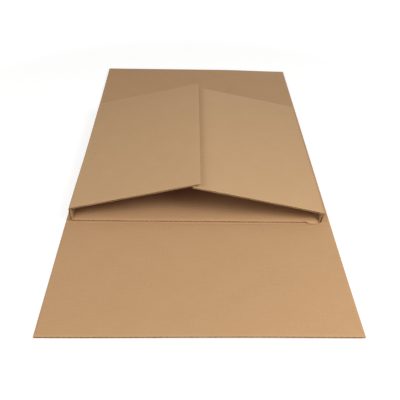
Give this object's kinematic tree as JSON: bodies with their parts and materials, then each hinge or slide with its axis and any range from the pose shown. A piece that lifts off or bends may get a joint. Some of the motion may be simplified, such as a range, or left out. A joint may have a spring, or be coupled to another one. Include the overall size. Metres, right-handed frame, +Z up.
{
  "type": "open cardboard box",
  "caption": "Book-wrap shipping box of brown corrugated board, lying open: a flat wrap sheet with end flaps, and a low tray whose side flaps lap as a tent.",
  "frame": {"origin": "on the table, under the middle of the wrap sheet", "axes": "+X to the right, +Y from the front flap to the back flap, +Z up"},
  "size_m": [0.355, 0.752, 0.0645],
  "materials": {
    "kraft_board": "plain brown kraft facings, matt, with open waves at the cut ends"
  },
  "bodies": {
    "box": {"wrap_middle": "kraft_board", "tray": "kraft_board"},
    "front_flap": {"front_flap": "kraft_board"},
    "back_flap": {"back_flap": "kraft_board"},
    "left_flap": {"left_flap": "kraft_board"}
  },
  "joints": [
    {"name": "front_crease", "type": "hinge", "parent": "box", "child": "front_flap", "pos_m": [0, -0.166, 0.003], "axis": [-1, 0, 0], "range_deg": [0, 90]},
    {"name": "back_crease", "type": "hinge", "parent": "box", "child": "back_flap", "pos_m": [0, 0.166, 0.003], "axis": [1, 0, 0], "range_deg": [0, 90]},
    {"name": "left_fold", "type": "hinge", "parent": "box", "child": "left_flap", "pos_m": [-0.17248, 0, 0.02334], "axis": [0, -1, 0], "range_deg": [0, 165]}
  ]
}
